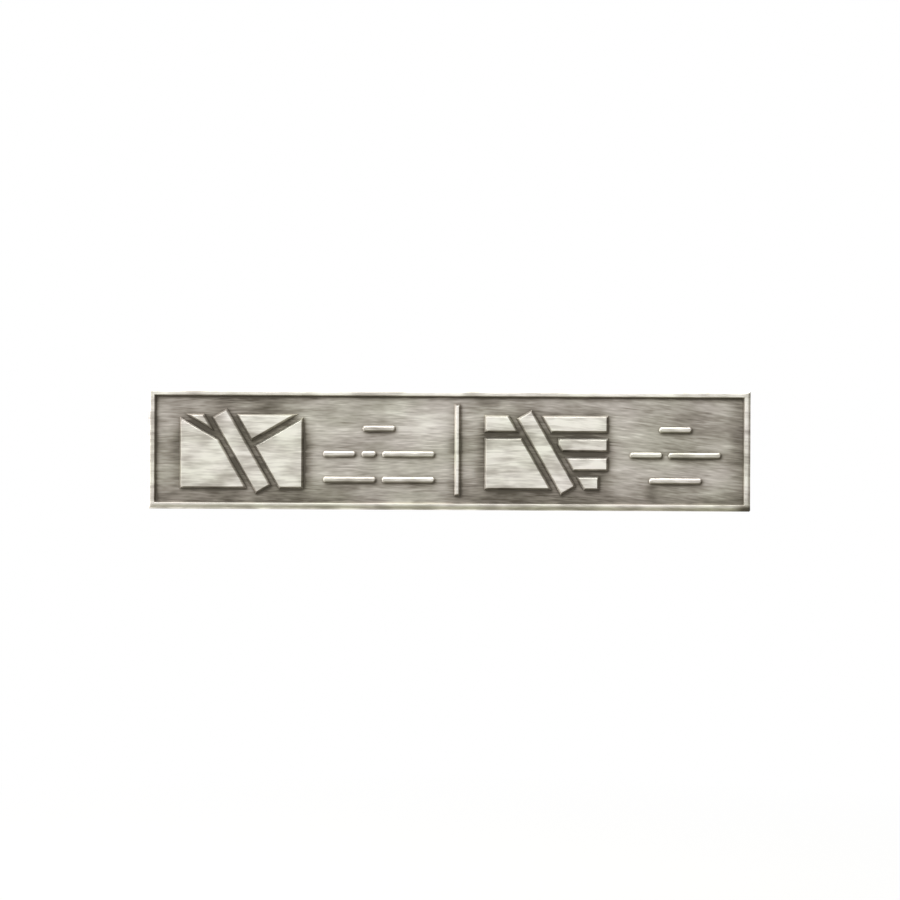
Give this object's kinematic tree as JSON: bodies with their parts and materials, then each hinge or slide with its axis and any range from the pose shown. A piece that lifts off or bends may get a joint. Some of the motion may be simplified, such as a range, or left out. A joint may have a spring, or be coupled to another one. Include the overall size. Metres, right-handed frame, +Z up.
{
  "type": "letterbox sign",
  "caption": "Long cast pewter sign plate with a raised rim, a brushed sunk field, bevelled pictograms, rows of dashes and a foam adhesive pad on its back.",
  "frame": {"origin": "centre of the adhesive pad's back face, where the sign meets the letterbox", "axes": "+X along the sign's length, to the right as it is read; +Y out of its back, into the letterbox; +Z up; the face looks along -Y"},
  "size_m": [0.12, 0.0028, 0.024],
  "materials": {
    "antique_pewter": "satin",
    "foam_tape": "matte"
  },
  "bodies": {
    "root": {"sign_plate": "antique_pewter", "adhesive_pad": "foam_tape"}
  },
  "joints": []
}
